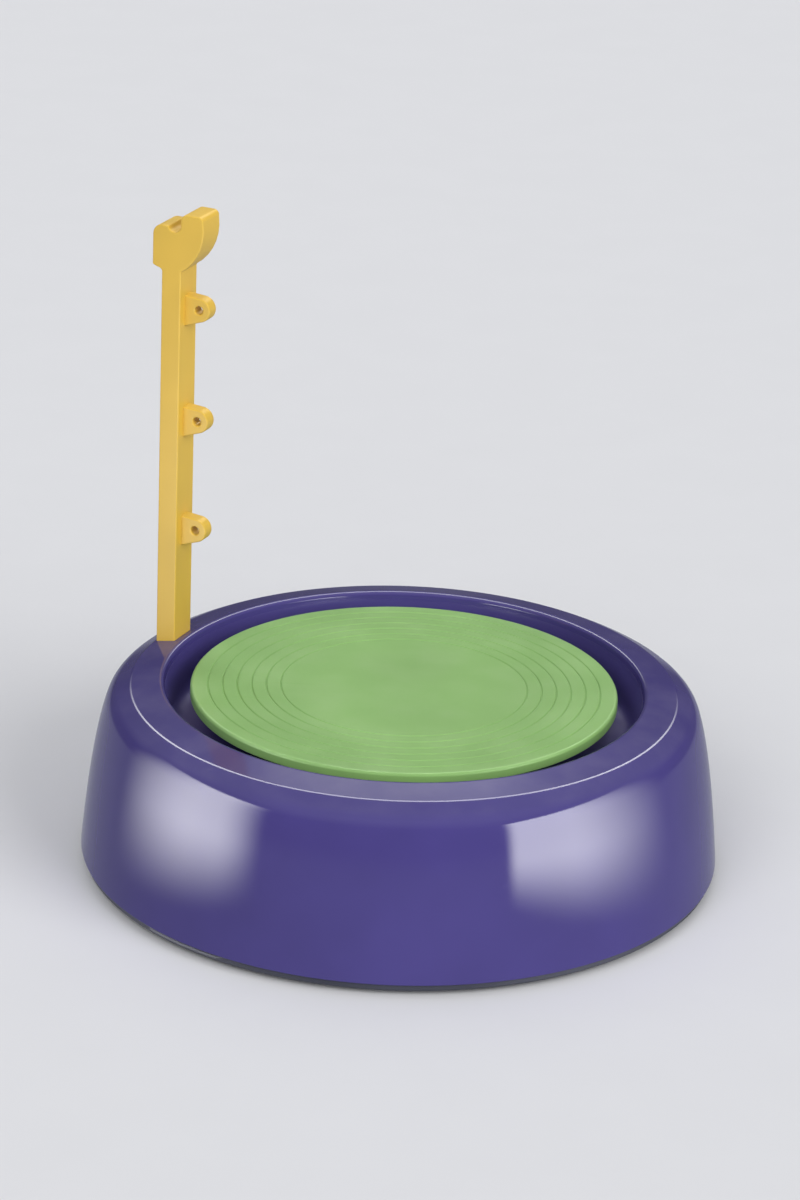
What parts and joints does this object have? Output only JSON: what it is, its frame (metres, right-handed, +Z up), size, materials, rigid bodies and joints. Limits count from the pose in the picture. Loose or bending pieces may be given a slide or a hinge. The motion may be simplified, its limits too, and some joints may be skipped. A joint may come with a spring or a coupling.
{
  "type": "pottery wheel",
  "caption": "Round tabletop pottery wheel: moulded shell with a splash well, geared motor-driven wheel head with concentric grooves, and a lift-out guide post with eyelets and a forked head.",
  "frame": {"origin": "on the wheel's axis, at the surface that the feet stand on", "axes": "+Z up along the wheel's axis, -Y to the front, the post at the left towards the back"},
  "size_m": [0.22, 0.22, 0.2199],
  "materials": {
    "purple_shell": "smooth gloss moulding",
    "green_wheel": "satin moulding with fine turned grooves",
    "yellow_post": "satin moulding",
    "dark_base": "fine textured moulding",
    "black_rubber": "matt",
    "bright_steel": "ground",
    "zinc_screw": "zinc plated",
    "bronze_bush": "sintered",
    "white_gear": "moulded acetal",
    "grey_frame": "moulded",
    "motor_steel": "zinc plated",
    "cell_jacket": "plain lacquer",
    "contact_spring": "nickel plated",
    "black_switch": "moulded",
    "red_wire": "smooth",
    "black_wire": "smooth"
  },
  "bodies": {
    "base": {"housing": "purple_shell", "base_plate": "dark_base", "rubber_feet": "black_rubber", "case_screws": "zinc_screw", "upper_bush": "bronze_bush", "lower_bush": "bronze_bush", "splash_seal": "black_rubber", "thrust_washer": "white_gear", "gear_axle": "bright_steel", "gear_plate": "grey_frame", "gear_plate_screws": "zinc_screw", "motor_can": "motor_steel", "motor_end_cap": "black_switch", "motor_terminals": "contact_spring", "motor_clamp": "grey_frame", "clamp_screws": "zinc_screw", "battery_cells": "cell_jacket", "battery_contacts": "contact_spring", "switch_body": "black_switch", "switch_terminals": "contact_spring", "switch_screws": "zinc_screw", "battery_lead": "red_wire", "motor_lead": "black_wire", "switch_lead": "red_wire"},
    "spindle": {"spindle": "bright_steel", "output_gear": "white_gear", "drive_hub": "grey_frame", "retaining_clip": "bright_steel"},
    "turntable": {"turntable": "green_wheel"},
    "compound": {"compound_gear": "white_gear"},
    "rotor": {"motor_shaft": "bright_steel", "motor_pinion": "bronze_bush"},
    "switch_knob": {"switch_knob": "black_switch"},
    "battery_door": {"battery_door": "dark_base", "door_screws": "zinc_screw"},
    "guide_post": {"guide_post": "yellow_post"}
  },
  "joints": [
    {"name": "spindle_spin", "type": "hinge", "parent": "base", "child": "spindle", "pos_m": [0, 0, 0.04], "axis": [0, 0, 1], "continuous": true},
    {"name": "turntable_lift", "type": "slide", "parent": "spindle", "child": "turntable", "axis": [0, 0, 1], "range_m": [0, 0.03]},
    {"name": "compound_spin", "type": "hinge", "parent": "base", "child": "compound", "pos_m": [0.018, 0.03118, 0], "axis": [0, 0, 1], "continuous": true},
    {"name": "rotor_spin", "type": "hinge", "parent": "base", "child": "rotor", "pos_m": [0.0285, 0.04936, 0], "axis": [0, 0, 1], "continuous": true},
    {"name": "post_lift", "type": "slide", "parent": "base", "child": "guide_post", "axis": [0, 0, 1], "range_m": [0, 0.02]},
    {"name": "switch_slide", "type": "slide", "parent": "base", "child": "switch_knob", "axis": [1, 0, 0], "range_m": [0, 0.004]},
    {"name": "battery_door_lift", "type": "slide", "parent": "base", "child": "battery_door", "axis": [0, 0, -1], "range_m": [0, 0.02]}
  ],
  "couplings": [
    {"joint": "compound_spin", "follows": "spindle_spin", "ratio": -5},
    {"joint": "rotor_spin", "follows": "spindle_spin", "ratio": 25}
  ]
}
